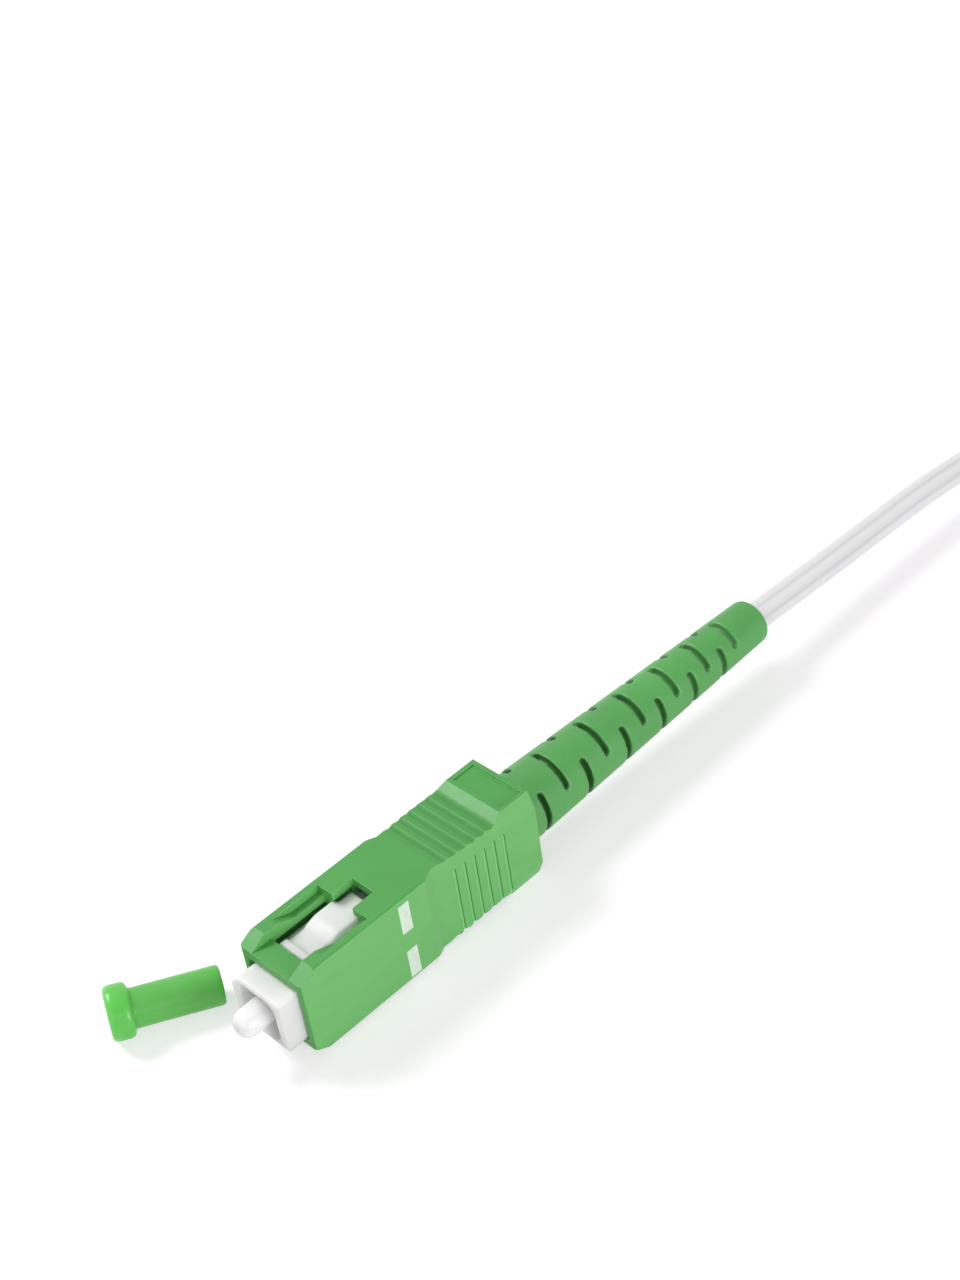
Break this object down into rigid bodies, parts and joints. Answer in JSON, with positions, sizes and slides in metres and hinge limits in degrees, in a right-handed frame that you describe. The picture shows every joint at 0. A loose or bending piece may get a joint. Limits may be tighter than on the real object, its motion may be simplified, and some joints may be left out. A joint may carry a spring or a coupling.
{
  "type": "optical fibre connector plug",
  "caption": "Push-pull simplex optical fibre plug with a sliding housing, spring-loaded ceramic ferrule, slotted bend-relief boot, folded lead and a loose dust cap.",
  "frame": {"origin": "on the ferrule's axis in the plane of the plug frame's front face", "axes": "-X points out of the nose, along the ferrule; +Z is out of one window face of the housing; +Y is the keyed side; the lead leaves towards +X"},
  "size_m": [0.1742, 0.0258, 0.0151],
  "materials": {
    "green_plastic": "satin moulded",
    "green_boot": "soft moulded",
    "green_cap": "soft moulded",
    "white_plastic": "moulded",
    "zirconia": "polished",
    "nickel": "nickel plated",
    "spring_steel": "drawn",
    "copper_ring": "crimped",
    "ptfe": "waxy",
    "yarn": "fibrous",
    "buffer": "smooth",
    "jacket": "satin",
    "tie": "moulded"
  },
  "bodies": {
    "plug": {"plug_frame": "white_plastic", "stop_ring": "nickel", "aramid_yarn": "yarn", "crimp_ring": "copper_ring", "boot": "green_boot", "cable_end": "jacket", "cable_lead": "jacket", "cable_coil": "jacket", "coil_tie": "tie", "dust_cap": "green_cap"},
    "grip": {"grip_housing": "green_plastic"},
    "ferrule_group": {"ferrule": "zirconia", "ferrule_flange": "nickel", "guide_tube": "ptfe", "buffered_fibre": "buffer", "ferrule_spring": "spring_steel"}
  },
  "joints": [
    {"name": "grip_slide", "type": "slide", "parent": "plug", "child": "grip", "axis": [1, 0, 0], "range_m": [-0.0018, 0]},
    {"name": "ferrule_float", "type": "slide", "parent": "plug", "child": "ferrule_group", "axis": [1, 0, 0], "range_m": [0, 0.0015], "stiffness_N_per_m": 1000, "springref_m": -0.005, "deforming": ["ferrule_spring"]}
  ]
}
